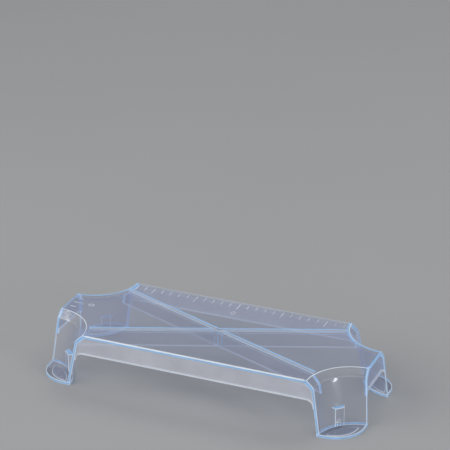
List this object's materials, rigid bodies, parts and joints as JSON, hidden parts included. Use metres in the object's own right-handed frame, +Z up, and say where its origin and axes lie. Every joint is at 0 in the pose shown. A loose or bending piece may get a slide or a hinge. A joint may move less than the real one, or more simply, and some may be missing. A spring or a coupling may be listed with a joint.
{
  "type": "nesting rack",
  "caption": "Low clear plastic rack: a flat deck bitten round at each corner, leaning trough-shaped legs with feet, aprons, crossed ribs below and a centre-zero scale along two edges.",
  "frame": {"origin": "on the surface that the rack stands on, under the centre of the deck", "axes": "+X along the deck's long edges, +Y towards the long edge with the graduations, +Z up; the end with graduations is at -X"},
  "size_m": [0.3584, 0.1484, 0.059],
  "materials": {
    "clear_plastic": "clear moulded plastic with a faint blue tint, glossy, edges that glow pale blue"
  },
  "bodies": {
    "root": {"deck_plate": "clear_plastic", "front_apron": "clear_plastic", "rear_apron": "clear_plastic", "left_end_apron": "clear_plastic", "right_end_apron": "clear_plastic", "diagonal_rib_through": "clear_plastic", "diagonal_rib_left_half": "clear_plastic", "diagonal_rib_right_half": "clear_plastic", "leg_front_left": "clear_plastic", "leg_front_right": "clear_plastic", "leg_rear_left": "clear_plastic", "leg_rear_right": "clear_plastic", "foot_front_left": "clear_plastic", "foot_front_right": "clear_plastic", "foot_rear_left": "clear_plastic", "foot_rear_right": "clear_plastic", "nesting_stop_front_left": "clear_plastic", "nesting_stop_front_right": "clear_plastic", "nesting_stop_rear_left": "clear_plastic", "nesting_stop_rear_right": "clear_plastic"}
  },
  "joints": []
}
